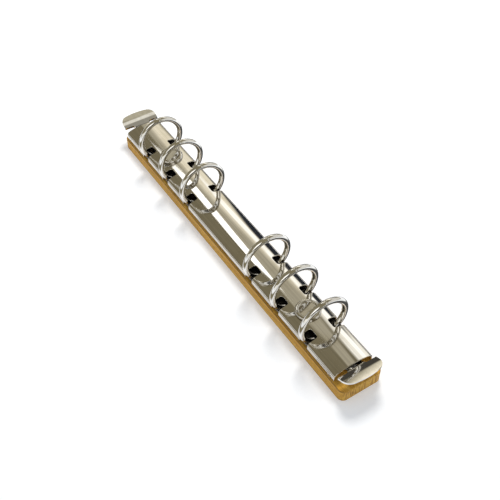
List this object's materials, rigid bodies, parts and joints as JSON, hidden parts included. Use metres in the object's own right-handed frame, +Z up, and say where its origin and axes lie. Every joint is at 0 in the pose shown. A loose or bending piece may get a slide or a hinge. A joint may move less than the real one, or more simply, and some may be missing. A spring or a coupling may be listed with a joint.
{
  "type": "ring binder mechanism",
  "caption": "Long arched ring mechanism for loose-leaf sheets: split wire rings on toggle blades, thumb levers at both ends, riveted to a thin wooden backing strip.",
  "frame": {"origin": "under the middle of the ring pattern, on the underside of the strip", "axes": "+X along the strip towards its longer end, +Y across it, +Z up from the strip to the rings"},
  "size_m": [0.1812, 0.0224, 0.0262],
  "materials": {
    "nickel_plate": "bright nickel plate on bent sheet and wire",
    "spring_steel": "plain rolled spring steel, hidden under the cover",
    "strip_wood": "clear-oiled straight-grained wood, sawn ends"
  },
  "bodies": {
    "base": {"backing_strip": "strip_wood", "cover_plate": "nickel_plate", "mounting_rivet_left": "nickel_plate", "mounting_rivet_right": "nickel_plate"},
    "front_jaw": {"toggle_blade_front": "spring_steel", "half_ring_front_1": "nickel_plate", "half_ring_front_2": "nickel_plate", "half_ring_front_3": "nickel_plate", "half_ring_front_4": "nickel_plate", "half_ring_front_5": "nickel_plate", "half_ring_front_6": "nickel_plate"},
    "rear_jaw": {"toggle_blade_rear": "spring_steel", "half_ring_rear_1": "nickel_plate", "half_ring_rear_2": "nickel_plate", "half_ring_rear_3": "nickel_plate", "half_ring_rear_4": "nickel_plate", "half_ring_rear_5": "nickel_plate", "half_ring_rear_6": "nickel_plate"},
    "left_lever": {"lever_left": "nickel_plate"},
    "right_lever": {"lever_right": "nickel_plate"}
  },
  "joints": [
    {"name": "front_jaw_swing", "type": "hinge", "parent": "base", "child": "front_jaw", "pos_m": [0, -0.00786, 0.00699], "axis": [1, 0, 0], "range_deg": [0, 16.5]},
    {"name": "rear_jaw_swing", "type": "hinge", "parent": "base", "child": "rear_jaw", "pos_m": [0, 0.00786, 0.00699], "axis": [-1, 0, 0], "range_deg": [0, 16.5]},
    {"name": "left_lever_press", "type": "hinge", "parent": "base", "child": "left_lever", "pos_m": [-0.0796, 0, 0.0067], "axis": [0, -1, 0], "range_deg": [0, 16.5]},
    {"name": "right_lever_press", "type": "hinge", "parent": "base", "child": "right_lever", "pos_m": [0.0796, 0, 0.0067], "axis": [0, 1, 0], "range_deg": [0, 16.5]}
  ],
  "couplings": [
    {"joint": "rear_jaw_swing", "follows": "front_jaw_swing", "ratio": 1},
    {"joint": "left_lever_press", "follows": "front_jaw_swing", "ratio": 1},
    {"joint": "right_lever_press", "follows": "front_jaw_swing", "ratio": 1}
  ]
}
